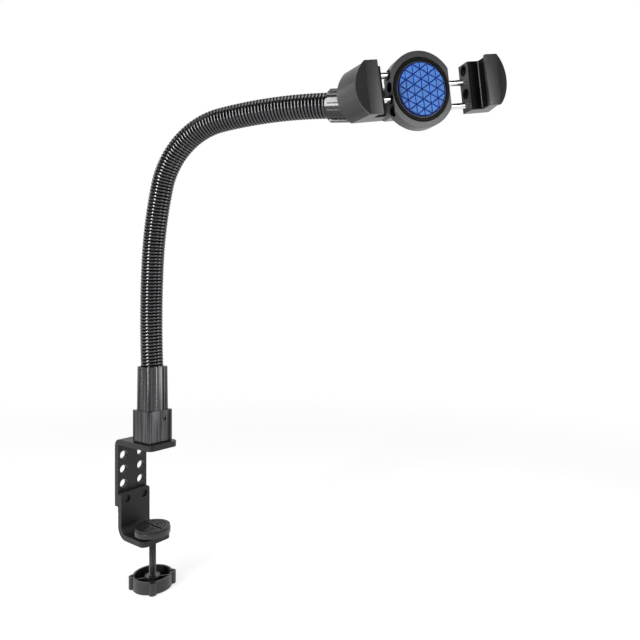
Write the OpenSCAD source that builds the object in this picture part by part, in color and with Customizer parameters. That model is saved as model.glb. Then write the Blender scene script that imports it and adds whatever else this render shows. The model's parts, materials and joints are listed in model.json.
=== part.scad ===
// Clamp-on phone holder on a flexible gooseneck.
// A two-piece steel clamp grips a table edge, a ridged gooseneck rises from a socket on it,
// and a ball joint with a ribbed lock nut carries the holder, whose two jaws slide on rods.
// Origin: on the clamp screw's axis, at the underside of the upper flange. +Z is up and
// +X points out of the throat, from the steel web towards the open side.

/* [Clamp plates] */
// Thickness of both bent steel plates
plate_t = 4.8; // [3.6:0.1:5.4]
// Width of both plates
plate_w = 29; // [26:0.5:34]
// Distance from the screw's axis to the throat face of the upper web
throat = 28.6; // [26:0.1:36]
// Reach of the upper flange past the screw's axis
upper_reach = 16.3; // [13:0.1:22]
// Inner radius of the upper bend
upper_bend_r = 1.6; // [1:0.1:4]
// Drop of the upper web's shoulders below the flange's underside
upper_web_drop = 54; // [53:0.5:60]
// Length of the narrow tongue below the shoulders
tongue_len = 11; // [6:0.5:14]
// Distance from the flange's underside to the first row of holes
first_row_drop = 10; // [9:0.5:11]
// Pitch of the hole rows
row_pitch = 12.5; // [12:0.1:13]
// Number of hole rows
row_count = 4; // [4:1:4]
// Distance between the two hole columns
column_gap = 17.3; // [15:0.1:18]
// Diameter of the height holes
height_hole_d = 7.5; // [6.5:0.1:8]
// Radial play of the hooked pins in the height holes
pin_play = 0.15; // [0.05:0.05:0.4]
// Drop of the lower web's top edge below the flange's underside
lower_top_drop = 41.3; // [40:0.1:43]
// Height of the lower plate, from its top edge to the underside of its flange
lower_height = 40; // [38:0.1:48]
// Reach of the lower flange past the screw's axis
lower_reach = 7.3; // [7:0.1:14]
// Inner radius of the lower bend
lower_bend_r = 6; // [3:0.5:8]

/* [Clamp screw] */
// Outer diameter of the clamp screw
screw_d = 6; // [5:0.5:8]
// Free length of the screw between the lower flange and the knob
screw_free = 27.8; // [20:0.1:40]
// Diameter of the pressure foot
foot_d = 30; // [24:0.5:36]
// Height of the foot's cup
foot_cup_h = 4.4; // [4:0.1:6]
// Thickness of the foot's rubber face
foot_pad_t = 2; // [1.5:0.1:3]
// Gap between the foot and the lower flange
foot_gap = 2.3; // [1:0.1:6]
// Radius of the knob over its four lobes
knob_r = 19.4; // [16:0.1:24]
// Height of the knob
knob_h = 10.3; // [8:0.1:14]
// Wall thickness of the knob
knob_wall = 1.8; // [1.2:0.1:2.5]
// Turn of the knob at rest
knob_turn = 54; // [0:1:89]

/* [Post] */
// Half the side of the square socket
socket_half = 11.7; // [11.4:0.1:13]
// Height of the socket's top above the flange's top
socket_h = 27.1; // [24:0.1:34]
// Thickness of the gasket under the socket
gasket_t = 1; // [0.8:0.1:2]
// Half the side of the sleeve at its foot
sleeve_foot_half = 11.1; // [10.9:0.1:11.2]
// Half the side of the sleeve at its top
sleeve_top_half = 10.7; // [10.6:0.1:10.9]
// Corner radius of the sleeve
sleeve_corner_r = 6.8; // [6:0.1:7.5]
// Height of the sleeve above the socket
sleeve_h = 37.1; // [30:0.1:44]
// Radius of the sleeve's spigot in the socket
spigot_r = 8.6; // [8:0.1:9]
// Depth of the spigot in the socket
spigot_depth = 19; // [14:0.5:20]
// Height of the set screw above the flange's top
set_screw_rise = 20; // [16:0.5:22]
// Sideways place of the set screw on the socket's face
set_screw_side = 3; // [0:0.5:3]

/* [Gooseneck] */
// Outer diameter of the gooseneck over its ridges
neck_d = 18.8; // [17:0.1:19]
// Depth of the groove between two ridges
neck_groove = 1.1; // [0.6:0.1:1.5]
// Bore radius of the gooseneck
neck_bore = 5.6; // [4.5:0.1:6]
// Number of ridges
neck_ridges = 120; // [60:1:124]
// Turn of the bend's plane about the post, from straight out of the throat
neck_yaw = 16; // [0:1:30]
// Lean of the gooseneck at its root, backwards being negative
neck_lean = -3; // [-6:0.5:6]
// Length of the gooseneck's root stretch
root_len = 97; // [80:1:110]
// Turn of the root stretch
root_turn = 6.3; // [0:0.1:12]
// Length of the rising stretch
rise_len = 65; // [50:1:80]
// Turn of the rising stretch
rise_turn = 10.5; // [5:0.5:16]
// Length of the main bend
bend_len = 81; // [70:1:100]
// Turn of the main bend
bend_turn = 70.5; // [50:0.5:80]
// Length of the level stretch
level_len = 93; // [80:1:110]
// Turn of the level stretch
level_turn = 12.2; // [0:0.1:16]

/* [Ball joint] */
// Distance from the gooseneck's tip to the ball's centre
ball_reach = 51.1; // [48:0.1:60]
// Radius of the ball
ball_r = 9.5; // [9:0.1:9.5]
// Play between the ball and its seats
ball_play = 0.1; // [0.05:0.05:0.2]
// Radius of the ball's stem
stem_r = 3.2; // [2.8:0.1:3.3]
// Outer radius of the slotted cup round the ball
cup_r = 11.2; // [11:0.1:12]
// Length of the lock nut
nut_len = 31; // [24:0.5:32]
// Core radius of the lock nut
nut_core_r = 11; // [10.8:0.1:11.6]
// Radius of the lock nut over its ribs
nut_rib_r = 12.3; // [12:0.1:13.4]
// Number of ribs round the lock nut
nut_ribs = 8; // [6:1:10]
// Distance from the ball's centre to the face of the grip pad
pad_reach = 41.2; // [40:0.1:46]
// Height of the ball's stem above the middle of the grip pad
stud_rise = 2.2; // [0:0.1:3]

/* [Holder] */
// Turn of the holder about the vertical
face_yaw = 53.2; // [40:0.1:60]
// Droop of the holder's face below the horizontal
face_drop = 4.4; // [0:0.1:10]
// Roll of the holder about its face's normal
face_roll = 10.2; // [-15:0.1:15]
// Radius of the front shell
body_r = 24.3; // [24.2:0.1:27]
// Half the width of the holder's body across its flats
body_half = 20.9; // [20.8:0.1:22.5]
// Depth of the front shell
front_depth = 8.8; // [8.4:0.1:10]
// Depth of the back shell
back_depth = 3.2; // [3:0.1:5]
// Radius of the grip pad
pad_r = 17.1; // [16:0.1:17.2]
// How far the grip pad stands proud of the front shell
pad_proud = 1.2; // [0.8:0.1:2]
// Side of the triangles in the grip pad
triangle = 6.3; // [5:0.1:8]
// Width of the grooves between the triangles
groove_w = 0.9; // [0.6:0.1:1.2]
// Diameter of the guide rods
rod_d = 4; // [3.5:0.1:4.5]
// Length of the guide rods out of their jaw
rod_len = 48; // [44:0.5:50]
// Pitch of the four rod rows
rod_pitch = 7.5; // [7.4:0.05:7.8]
// Depth of the rods' plane below the grip pad's face
rod_depth = 5.4; // [5.3:0.1:6]
// Diameter of the clearance bores
clear_d = 6.8; // [6.4:0.1:7]
// Half the width of the mounting block
block_half = 19; // [17:0.5:20]
// Height of the mounting block above the middle of the grip pad
block_up = 8.3; // [7.8:0.1:11]
// Depth of the mounting block below the middle of the grip pad
block_down = 12.5; // [9:0.1:13]
// Thickness of the mounting block, from its back to the back shell
block_depth = 14.2; // [12:0.1:14.6]
// Wall thickness of the mounting block
block_wall = 2.4; // [2:0.1:3]

/* [Jaws] */
// Gap between the body and the left jaw
left_gap = 7; // [2:0.1:18]
// Gap between the body and the right jaw
right_gap = 14.3; // [2:0.1:18]
// Half the height of a jaw
jaw_half = 15.6; // [15.4:0.1:18]
// Length of the ledge behind the phone
ledge = 7.6; // [5:0.1:9]
// Thickness of a jaw's base
jaw_base_t = 10.6; // [9.8:0.1:12]
// Height of a jaw's wall above its base
jaw_wall_h = 8.5; // [7:0.1:14]
// Thickness of the lip
lip_t = 2.4; // [2:0.1:3]
// Overhang of the lip over the phone
lip_hook = 1; // [0:0.1:2]
// Straight part of the lip, up to its crease
lip_flat = 8.5; // [7:0.1:10]
// Bulge of the jaw's outer arc
jaw_bulge = 7.2; // [5:0.1:9]
// Slope of the jaw's outer wall, whose back stands further out
jaw_flare = 16; // [0:1:20]
// Thickness of the rubber liner
liner_t = 1.2; // [0.8:0.1:1.4]

/* [Hidden] */
$fn = 64;
eps = 0.01;
cut = 1;
span = 200;
seat_gap = 0.3;
run_play = 0.05;
press_gap = 0.02;
steel = "#3c3c3e";
satin = "#5a5a5c";
black = "#1c1c1e";
chrome = "#c8ccd0";
blue = "#2f62d6";

// Clamp, worked out
row_z = [for (i = [0:row_count - 1]) -first_row_drop - i * row_pitch];
upper_corner_r = 5;
tongue_w = plate_w - 6;
lower_x = -throat;
lower_top = -lower_top_drop;
lower_base = lower_top - lower_height;
lower_floor = lower_base + plate_t;
pin_r = height_hole_d / 2 - pin_play;
pin_len = plate_t - 1;
dimple = 2;
foot_base = lower_floor + foot_gap;
foot_top = foot_base + foot_cup_h + foot_pad_t;
screw_r = screw_d / 2;
thread_bush_r = screw_r + 2;
journal_r = screw_r - 0.8;
cup_floor = 1.8;
clip_t = 0.8;
clip_r = 4.2;
clip_base = foot_base + cup_floor + seat_gap;
knob_top = lower_base - screw_free;
knob_base = knob_top - knob_h;
knob_lobe_r = 3.2;
knob_disc_r = knob_r - 2.9;
knob_floor = 2;
hub_r = 6.3;
insert_r = 4.4;
foot_ring_r = foot_d / 2 - 1.4;

// Post, worked out
socket_foot = plate_t + gasket_t;
socket_top = plate_t + socket_h;
sleeve_top = socket_top + sleeve_h;
spigot_foot = socket_top - spigot_depth;
bore_floor = spigot_foot - seat_gap;
socket_flute = 1;
bolt_r = 2;
bolt_head_r = 3.9;
bolt_head_h = 2;
bolt_side = 6;
bolt_top = bore_floor - 1.5;
set_screw_r = 2;
set_screw_sink = 1.4;
neck_r = neck_d / 2;
neck_bore_r = neck_r + seat_gap;
root_depth = 8;
neck_root = sleeve_top - root_depth;
ferrule_len = 10;
ferrule_foot = neck_root - ferrule_len;
ferrule_r = 7;
plug_r = neck_bore - 0.35;
plug_len = 10;

// Gooseneck's centre line: four arcs in one upright plane, as [run, height, heading]
function radius(len, turn) = len / (max(turn, 0.01) * PI / 180);
function along(p, len, turn, part) =
    let (r = radius(len, turn), h = p[2] + turn * part)
    [p[0] + r * (cos(p[2]) - cos(h)), p[1] + r * (sin(h) - sin(p[2])), h];
stretches = [[root_len, root_turn], [rise_len, rise_turn], [bend_len, bend_turn], [level_len, level_turn]];
p_root = [0, neck_root, neck_lean];
p_rise = along(p_root, root_len, root_turn, 1);
p_bend = along(p_rise, rise_len, rise_turn, 1);
p_level = along(p_bend, bend_len, bend_turn, 1);
p_tip = along(p_level, level_len, level_turn, 1);
starts = [p_root, p_rise, p_bend, p_level];
neck_len = root_len + rise_len + bend_len + level_len;
function run_start(i) = i == 0 ? 0 : run_start(i - 1) + stretches[i - 1][0];
function stretch_at(s) = s < run_start(1) ? 0 : s < run_start(2) ? 1 : s < run_start(3) ? 2 : 3;
function neck_at(s) =
    let (i = stretch_at(s), len = stretches[i][0])
    along(starts[i], len, stretches[i][1], (s - run_start(i)) / len);
tip_gap = 0.3;
neck_sides = 18;
neck_valley_r = neck_r - neck_groove;
bore_step = 4;
function neck_ring(s, r) =
    let (p = neck_at(s))
    [for (k = [0:neck_sides - 1])
        let (a = 360 * k / neck_sides, c = r * cos(a), d = r * sin(a))
        [p[0] + c * cos(p[2]), d, p[1] - c * sin(p[2])]];

// Ball joint and holder, worked out
function turned(p, yaw) = [p[0] * cos(yaw) - p[1] * sin(yaw), p[0] * sin(yaw) + p[1] * cos(yaw), p[2]];
ball_pos = turned([p_tip[0] + ball_reach * sin(p_tip[2]), 0, p_tip[1] + ball_reach * cos(p_tip[2])], neck_yaw);
barrel_r = neck_r + 0.1;
cup_foot = nut_len + 2;
cup_chamfer = 2;
mouth = ball_reach + 2.5;
seat_len = 8.4;
seat_r = 8.6;
seat_foot = ball_reach - ball_r - 4;
slit_w = 1.6;
slit_foot = ball_reach - 5;
nut_foot = 1.2;
rib_w = 4.4;
front_face = -pad_proud;
split_n = front_face - front_depth;
back_face = split_n - back_depth;
block_back = back_face - block_depth;
block_mid = (block_up - block_down) / 2;
block_screw_u = block_half - 4.5;
block_boss_r = 3.6;
stud_flange_r = 5.4;
stud_flange_t = 1.2;
stud_pin_r = 2.9;
stud_nut_r = 5.5;
stud_nut_h = 1.8;
pocket_r = 6.6;
rows = [1.5, 0.5, -0.5, -1.5];
left_rows = [rows[0], rows[2]];
right_rows = [rows[1], rows[3]];
rod_r = rod_d / 2;
rod_n = -rod_depth;
bush_len = 8;
bush_r = clear_d / 2;
rod_seat = 12;
bezel_in = pad_r + 0.8;
bezel_out = bezel_in + 2.4;
bezel_t = 1.2;
bezel_sink = 0.6;
pad_sink = 0.4;
pad_groove = 0.7;
row_step = triangle * sqrt(3) / 2;
jaw_back = rod_n - jaw_base_t / 2;
base_face = rod_n + jaw_base_t / 2;
wall_face = base_face + jaw_wall_h;
wall_u = ledge + liner_t;
arc_u = ledge - lip_hook + lip_flat;
arc_r = (jaw_half * jaw_half + jaw_bulge * jaw_bulge) / (2 * jaw_bulge);
lip_proud = 0.4;
shell_screw_u = 8.5;
shell_screw_edge = 6;
crease_slope = 14;

module rounded_block(w, h, r) {
    translate([-w / 2 + r, -h / 2]) square([w - 2 * r, h]);
    translate([-w / 2, -h / 2 + r]) square([w, h - 2 * r]);
    for (x = [-1, 1], y = [-1, 1]) translate([x * (w / 2 - r), y * (h / 2 - r)]) circle(r);
}

// Block from the origin to the right and down, with its upper left corner rounded
module corner_block(w, h, r) {
    translate([r, -h]) square([w - r, h]);
    translate([0, -h]) square([w, h - r]);
    translate([r, -r]) circle(r);
}

// Section of a plate bent to a right angle, outer corner at the origin
module angle_section(w, h, t, r) {
    difference() {
        corner_block(w, h, r + t);
        translate([t, -t]) corner_block(w, h, r);
    }
}

// Raises a section drawn in X and Z to a width along Y
module across(width) {
    translate([0, width / 2, 0]) rotate([90, 0, 0]) linear_extrude(width) children();
}

// Square with V grooves beside each corner, as on an extruded post
module fluted_square(half, r, flute) {
    difference() {
        rounded_block(2 * half, 2 * half, r);
        for (a = [0, 90, 180, 270]) rotate(a) for (s = [-1, 1])
            translate([half, s * (half - r - 1.6)]) rotate(45) square(flute, center = true);
        for (a = [0, 180]) rotate(a) translate([0, -half]) rotate(45) square(flute, center = true);
    }
}

// Places children at the gooseneck's tip, with Z along its end
module at_tip() {
    rotate([0, 0, neck_yaw]) translate([p_tip[0], 0, p_tip[1]]) rotate([0, p_tip[2], 0]) children();
}

// Places children at the gooseneck's root, with Z along its start
module at_root() {
    translate([0, 0, neck_root]) rotate([0, neck_lean, neck_yaw]) children();
}

// Places children in the holder's frame: X along the rods, Y up the pad, Z out of its face
module at_face() {
    translate(ball_pos) rotate([90 + face_drop, 0, face_yaw]) rotate([0, 0, face_roll])
        translate([0, -stud_rise, pad_reach]) children();
}

// Places children on the ball's stem, in the holder's frame
module at_stud() {
    at_face() translate([0, stud_rise, 0]) children();
}

// Lays a cylinder's axis along the rods
module along_rods() {
    rotate([0, 90, 0]) children();
}

module upper_bracket() {
    color(steel) difference() {
        intersection() {
            translate([-throat - plate_t, 0, plate_t])
                across(plate_w) angle_section(throat + plate_t + upper_reach,
                    plate_t + upper_web_drop + tongue_len, plate_t, upper_bend_r);
            translate([0, 0, -upper_web_drop - tongue_len - cut]) linear_extrude(span) union() {
                translate([-throat - plate_t - cut, -plate_w / 2])
                    square([throat + plate_t + cut, plate_w]);
                rounded_block(2 * upper_reach, plate_w, upper_corner_r);
            }
            translate([-throat - 2 * plate_t, 0, 0]) rotate([90, 0, 90]) linear_extrude(span) union() {
                translate([-plate_w / 2, -upper_web_drop]) square([plate_w, upper_web_drop + 2 * plate_t]);
                translate([0, -upper_web_drop]) rounded_block(tongue_w, 2 * tongue_len, upper_corner_r);
            }
        }
        for (z = row_z, y = [-1, 1])
            translate([-throat - plate_t - cut, y * column_gap / 2, z]) along_rods()
                cylinder(h = plate_t + 2 * cut, d = height_hole_d);
        for (x = [-1, 1]) translate([x * bolt_side, 0, 0]) {
            translate([0, 0, -cut]) cylinder(h = plate_t + 2 * cut, r = bolt_r + 0.2);
            translate([0, 0, -eps])
                cylinder(h = bolt_head_h, r1 = bolt_head_r + 0.2, r2 = bolt_r + 0.2);
        }
    }
}

module lower_bracket() {
    web_h = lower_height;
    color(steel) difference() {
        union() {
            intersection() {
                translate([lower_x, 0, lower_base]) mirror([0, 0, 1])
                    across(plate_w) angle_section(-lower_x + lower_reach, web_h, plate_t, lower_bend_r);
                translate([0, 0, lower_base - cut]) linear_extrude(web_h + 2 * cut) union() {
                    translate([lower_x - cut, -plate_w / 2]) square([-lower_x + cut, plate_w]);
                    rounded_block(2 * lower_reach, plate_w, upper_corner_r);
                }
                translate([lower_x - cut, 0, lower_top - web_h / 2 - 10]) rotate([90, 0, 90])
                    linear_extrude(span) rounded_block(plate_w, web_h + 20, 3);
            }
            for (y = [-1, 1]) translate([lower_x - pin_len, y * column_gap / 2, row_z[3]])
                along_rods() cylinder(h = pin_len + cut, r = pin_r);
        }
        for (y = [-1, 1])
            translate([lower_x + plate_t - dimple, y * column_gap / 2, row_z[3]])
                along_rods() cylinder(h = dimple + cut, r = pin_r - 0.4);
        translate([0, 0, lower_base - cut]) cylinder(h = plate_t + 2 * cut, r = thread_bush_r + press_gap);
    }
}

// Threaded bush pressed flush into the lower flange
module thread_bush() {
    color(chrome) translate([0, 0, lower_base]) difference() {
        cylinder(h = plate_t, r = thread_bush_r);
        translate([0, 0, -cut]) cylinder(h = plate_t + 2 * cut, r = screw_r + run_play);
    }
}

module socket() {
    color(satin) difference() {
        translate([0, 0, socket_foot]) linear_extrude(socket_top - socket_foot)
            fluted_square(socket_half, 0.8, socket_flute);
        translate([0, 0, bore_floor]) cylinder(h = socket_top, r = spigot_r + 0.1);
        for (x = [-1, 1]) translate([x * bolt_side, 0, socket_foot - cut])
            cylinder(h = bolt_top + 0.3 - socket_foot + cut, r = bolt_r + 0.05);
        translate([0, set_screw_side, plate_t + set_screw_rise]) along_rods()
            cylinder(h = socket_half + cut, r = set_screw_r + 0.05);
    }
}

module socket_gasket() {
    color(black) difference() {
        translate([0, 0, plate_t]) linear_extrude(gasket_t)
            rounded_block(2 * socket_half - 0.6, 2 * socket_half - 0.6, 1.6);
        for (x = [-1, 1]) translate([x * bolt_side, 0, plate_t - cut])
            cylinder(h = gasket_t + 2 * cut, r = bolt_r + 0.2);
    }
}

module socket_bolts() {
    color(chrome) for (x = [-1, 1]) translate([x * bolt_side, 0, 0]) difference() {
        union() {
            translate([0, 0, 0.2]) cylinder(h = bolt_head_h - 0.2, r1 = bolt_head_r - 0.2, r2 = bolt_r);
            translate([0, 0, bolt_head_h - eps]) cylinder(h = bolt_top - bolt_head_h, r = bolt_r);
        }
        cylinder(h = 1.6, r = 1.3, $fn = 6);
    }
}

module set_screw() {
    tip = sqrt(spigot_r * spigot_r - pow(set_screw_side + set_screw_r, 2));
    len = socket_half - set_screw_sink - spigot_r;
    color(black) translate([spigot_r + seat_gap, set_screw_side, plate_t + set_screw_rise])
        along_rods() difference() {
            cylinder(h = len, r = set_screw_r);
            translate([0, 0, len - 1.2]) cylinder(h = 1.2 + cut, r = 1, $fn = 6);
        }
}

module post_sleeve() {
    color(satin) difference() {
        union() {
            translate([0, 0, socket_top])
                linear_extrude(sleeve_h, scale = sleeve_top_half / sleeve_foot_half, $fn = 48)
                    fluted_square(sleeve_foot_half, sleeve_corner_r, socket_flute);
            translate([0, 0, spigot_foot]) cylinder(h = spigot_depth + eps, r = spigot_r);
        }
        at_root() translate([0, 0, -seat_gap]) cylinder(h = sleeve_h, r = neck_bore_r);
        translate([0, 0, ferrule_foot]) cylinder(h = ferrule_len, r = ferrule_r + run_play);
    }
}

module neck_ferrule() {
    color(chrome) {
        translate([0, 0, ferrule_foot]) cylinder(h = ferrule_len - 3 * seat_gap, r = ferrule_r);
        at_root() translate([0, 0, -ferrule_len / 2]) cylinder(h = ferrule_len / 2 + plug_len, r = plug_r);
    }
}

// Wound hose: one closed sweep whose radius rises and falls once for each ridge, round a plain bore
module gooseneck() {
    run = neck_len - tip_gap;
    pitch = run / neck_ridges;
    sides = neck_sides;
    skin = concat([neck_ring(0, neck_valley_r)],
        [for (i = [0:neck_ridges - 1]) for (half = [0.5, 1])
            neck_ring((i + half) * pitch, half < 1 ? neck_r : neck_valley_r)]);
    bore = [for (i = [0:bore_step:neck_ridges]) neck_ring(i * pitch, neck_bore)];
    tip = len(skin) - 1;
    first = len(skin) * sides;
    last = len(bore) - 1;
    points = [for (ring = concat(skin, bore)) for (p = ring) p];
    skin_walls = [for (i = [0:tip - 1]) for (k = [0:sides - 1])
        let (a = i * sides + k, b = i * sides + (k + 1) % sides)
        [a, b, b + sides, a + sides]];
    bore_walls = [for (i = [0:last - 1]) for (k = [0:sides - 1])
        let (a = first + i * sides + k, b = first + i * sides + (k + 1) % sides)
        [a + sides, b + sides, b, a]];
    root_face = [for (k = [0:sides - 1]) [(k + 1) % sides, k, first + k, first + (k + 1) % sides]];
    tip_face = [for (k = [0:sides - 1])
        let (a = tip * sides + k, b = tip * sides + (k + 1) % sides,
            c = first + last * sides + (k + 1) % sides, d = first + last * sides + k)
        [a, b, c, d]];
    color(black) rotate([0, 0, neck_yaw])
        polyhedron(points, concat(skin_walls, bore_walls, root_face, tip_face));
}

// Plug, threaded barrel and slotted cup in one piece
module neck_head() {
    color(black) at_tip() difference() {
        union() {
            translate([0, 0, -plug_len]) cylinder(h = plug_len + eps, r = plug_r);
            cylinder(h = cup_foot + eps, r = barrel_r);
            translate([0, 0, cup_foot]) cylinder(h = cup_chamfer, r1 = barrel_r, r2 = cup_r);
            translate([0, 0, cup_foot + cup_chamfer - eps])
                cylinder(h = mouth - cup_foot - cup_chamfer + eps, r = cup_r);
        }
        translate([0, 0, seat_foot]) cylinder(h = ball_reach - seat_foot, r = seat_r + run_play);
        translate([0, 0, ball_reach]) sphere(ball_r + ball_play);
        for (a = [0, 90]) rotate(a)
            translate([-cup_r - cut, -slit_w / 2, slit_foot]) cube([2 * (cup_r + cut), slit_w, mouth]);
    }
}

module ball_seat() {
    color("#d8d8d2") at_tip() difference() {
        translate([0, 0, seat_foot]) cylinder(h = seat_len, r = seat_r);
        translate([0, 0, ball_reach]) sphere(ball_r + ball_play);
    }
}

module lock_nut() {
    color(black) at_tip() difference() {
        union() {
            translate([0, 0, nut_foot]) cylinder(h = nut_len, r = nut_core_r);
            for (k = [0:nut_ribs - 1]) rotate(360 * k / nut_ribs) intersection() {
                translate([nut_core_r - 1, -rib_w / 2, nut_foot + 1.5])
                    cube([nut_rib_r - nut_core_r + 1, rib_w, nut_len - 4.5]);
                translate([0, 0, nut_foot]) cylinder(h = nut_len, r = nut_rib_r);
            }
        }
        translate([0, 0, nut_foot - cut]) cylinder(h = nut_len + 2 * cut, r = barrel_r + run_play);
        translate([0, 0, nut_foot + nut_len - 1.2])
            cylinder(h = 1.2 + eps, r1 = barrel_r + run_play, r2 = barrel_r + 1.2);
    }
}

module ball_stud() {
    flange_foot = block_back - seat_gap - stud_flange_t;
    pin_top = back_face + seat_gap + stud_nut_h;
    color(chrome) at_stud() {
        translate([0, 0, -pad_reach]) sphere(ball_r);
        translate([0, 0, -pad_reach]) cylinder(h = pad_reach + flange_foot + eps, r = stem_r);
        translate([0, 0, flange_foot]) cylinder(h = stud_flange_t, r = stud_flange_r);
        translate([0, 0, flange_foot + stud_flange_t - eps])
            cylinder(h = pin_top - flange_foot - stud_flange_t, r = stud_pin_r);
    }
}

module stud_nut() {
    color(chrome) at_stud() translate([0, 0, back_face + seat_gap]) difference() {
        cylinder(h = stud_nut_h, r = stud_nut_r, $fn = 6);
        translate([0, 0, -cut]) cylinder(h = stud_nut_h + 2 * cut, r = stud_pin_r + press_gap);
    }
}

// Places children at the two screws of the mounting block
module block_places() {
    for (x = [-1, 1]) translate([x * block_screw_u, block_mid, 0]) children();
}

// Moulded box open towards the back shell, with bosses for the stem and the two screws
module mounting_block() {
    height = block_up + block_down;
    color(black) at_face() difference() {
        translate([0, block_mid, block_back]) linear_extrude(block_depth)
            rounded_block(2 * block_half, height, 3);
        difference() {
            translate([0, block_mid, block_back + block_wall]) linear_extrude(block_depth)
                rounded_block(2 * (block_half - block_wall), height - 2 * block_wall, 1);
            translate([0, stud_rise, block_back]) cylinder(h = block_depth, r = stud_pin_r + 2.2);
            block_places() translate([0, 0, block_back]) cylinder(h = block_depth, r = block_boss_r);
        }
        translate([0, stud_rise, block_back - cut])
            cylinder(h = block_depth + 2 * cut, r = stud_pin_r + run_play);
        block_places() translate([0, 0, block_back - cut]) {
            cylinder(h = block_depth + 2 * cut, r = 1.6);
            cylinder(h = 2 + cut, r = 2.9);
        }
    }
}

module block_screws() {
    color(chrome) at_face() block_places() translate([0, 0, block_back + 0.3]) difference() {
        union() {
            cylinder(h = 1.7, r = 2.6);
            cylinder(h = block_depth + 2, r = 1.5);
        }
        translate([0, 0, -cut]) cylinder(h = 1 + cut, r = 1.1, $fn = 6);
    }
}

module body_outline(r, half) {
    intersection() {
        circle(r, $fn = 96);
        square([2 * half, 2 * r + 2], center = true);
    }
}

// Places children at the four screws that close the body
module screw_places() {
    for (x = [-1, 1], y = [-1, 1]) translate([x * shell_screw_u, y * (body_r - shell_screw_edge), 0]) children();
}

module back_shell() {
    color(black) at_face() difference() {
        translate([0, 0, back_face]) linear_extrude(back_depth) body_outline(body_r - 1.4, body_half - 0.6);
        translate([0, stud_rise, back_face - cut]) cylinder(h = back_depth + 2 * cut, r = pocket_r);
        block_places() translate([0, 0, back_face - cut]) cylinder(h = 2.3 + cut, r = 1.55);
        screw_places() translate([0, 0, back_face - cut]) {
            cylinder(h = back_depth + 2 * cut, r = 1.3);
            cylinder(h = 1.6 + cut, r = 2.2);
        }
    }
}

module shell_screws() {
    color(chrome) at_face() screw_places() translate([0, 0, back_face + 0.2]) difference() {
        union() {
            cylinder(h = 1.4, r = 2);
            cylinder(h = back_depth + 3.2, r = 1.2);
        }
        translate([0, 0, -cut]) cylinder(h = 0.8 + cut, r = 0.9, $fn = 6);
    }
}

module front_shell() {
    color(satin) at_face() difference() {
        translate([0, 0, split_n]) linear_extrude(front_depth) body_outline(body_r, body_half);
        for (i = rows) translate([-body_half - cut, i * rod_pitch, rod_n]) along_rods()
            cylinder(h = 2 * (body_half + cut), r = clear_d / 2);
        translate([0, 0, front_face - pad_sink]) cylinder(h = cut + pad_sink, r = pad_r + 0.15);
        translate([0, 0, front_face - bezel_sink]) difference() {
            cylinder(h = cut + bezel_sink, r = bezel_out + 0.15);
            translate([0, 0, -cut]) cylinder(h = 4, r = bezel_in - 0.15);
        }
        screw_places() translate([0, 0, split_n - cut]) cylinder(h = 3.4 + cut, r = 1.25);
        translate([0, stud_rise, split_n - cut]) cylinder(h = cut + 0.4, r = pocket_r);
    }
}

module rod_bushes() {
    color(black) at_face() for (side = [-1, 1]) for (i = side < 0 ? left_rows : right_rows)
        translate([side * (body_half - 0.4), i * rod_pitch, rod_n]) rotate([0, -90 * side, 0])
            difference() {
                cylinder(h = bush_len, r = bush_r - press_gap);
                translate([0, 0, -cut]) cylinder(h = bush_len + 2 * cut, r = rod_r + run_play);
                translate([0, 0, -eps]) cylinder(h = 1, r1 = rod_r + 0.8, r2 = rod_r + run_play);
            }
}

module pad_bezel() {
    color(black) at_face() translate([0, 0, front_face - bezel_sink]) difference() {
        cylinder(h = bezel_t, r = bezel_out);
        translate([0, 0, -cut]) cylinder(h = bezel_t + 2 * cut, r = bezel_in);
    }
}

// Rubber disc whose face is cut into triangles by three sets of grooves
module grip_pad() {
    count = floor(pad_r / row_step);
    depth = pad_proud + pad_sink;
    color(blue) at_face() translate([0, 0, -depth]) difference() {
        cylinder(h = depth, r = pad_r);
        intersection() {
            translate([0, 0, depth - pad_groove]) cylinder(h = pad_groove + cut, r = pad_r - 1.2);
            union() for (a = [0, 60, 120]) rotate(a) for (i = [-count:count])
                translate([i * row_step - groove_w / 2, -pad_r, depth - pad_groove])
                    cube([groove_w, 2 * pad_r, pad_groove + cut]);
        }
    }
}

// Outline of a jaw from u0 outwards: straight sides that end in one wide arc
module jaw_outline(u0, grow) {
    intersection() {
        translate([u0, -jaw_half - grow]) square([span, 2 * (jaw_half + grow)]);
        translate([arc_u + jaw_bulge - arc_r, 0]) circle(arc_r + grow, $fn = 160);
    }
}

// Places a jaw built to the right of the body, turned round for the left one
module at_jaw(side) {
    gap = side < 0 ? left_gap : right_gap;
    at_face() rotate(side < 0 ? 180 : 0) translate([body_half + gap, 0, 0]) children();
}

// Both jaws are one moulding, turned half round, so each keeps its rods in rows 2 and 4 of its own
module jaw(side) {
    color(satin) at_jaw(side) difference() {
        intersection() {
            union() {
                translate([0, -jaw_half, jaw_back]) cube([span, 2 * jaw_half, jaw_base_t]);
                translate([wall_u, -jaw_half, base_face - eps]) cube([span, 2 * jaw_half, jaw_wall_h + eps]);
            }
            translate([arc_u + jaw_bulge, 0, wall_face]) rotate([0, -jaw_flare, 0])
                translate([-arc_r, 0, -span / 2]) cylinder(h = span, r = arc_r, $fn = 160);
        }
        for (i = left_rows) translate([-cut, i * rod_pitch, rod_n]) along_rods()
            cylinder(h = rod_seat + cut, r = clear_d / 2);
        for (i = right_rows) translate([-cut, i * rod_pitch, rod_n]) along_rods()
            cylinder(h = rod_seat + cut, r = rod_r + 0.03);
    }
}

module liner(side) {
    color(black) at_jaw(side) {
        translate([0.6, -jaw_half + 0.3, base_face]) cube([ledge, 2 * jaw_half - 0.6, liner_t]);
        translate([ledge, -jaw_half + 0.3, base_face]) cube([liner_t, 2 * jaw_half - 0.6, jaw_wall_h]);
    }
}

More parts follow.
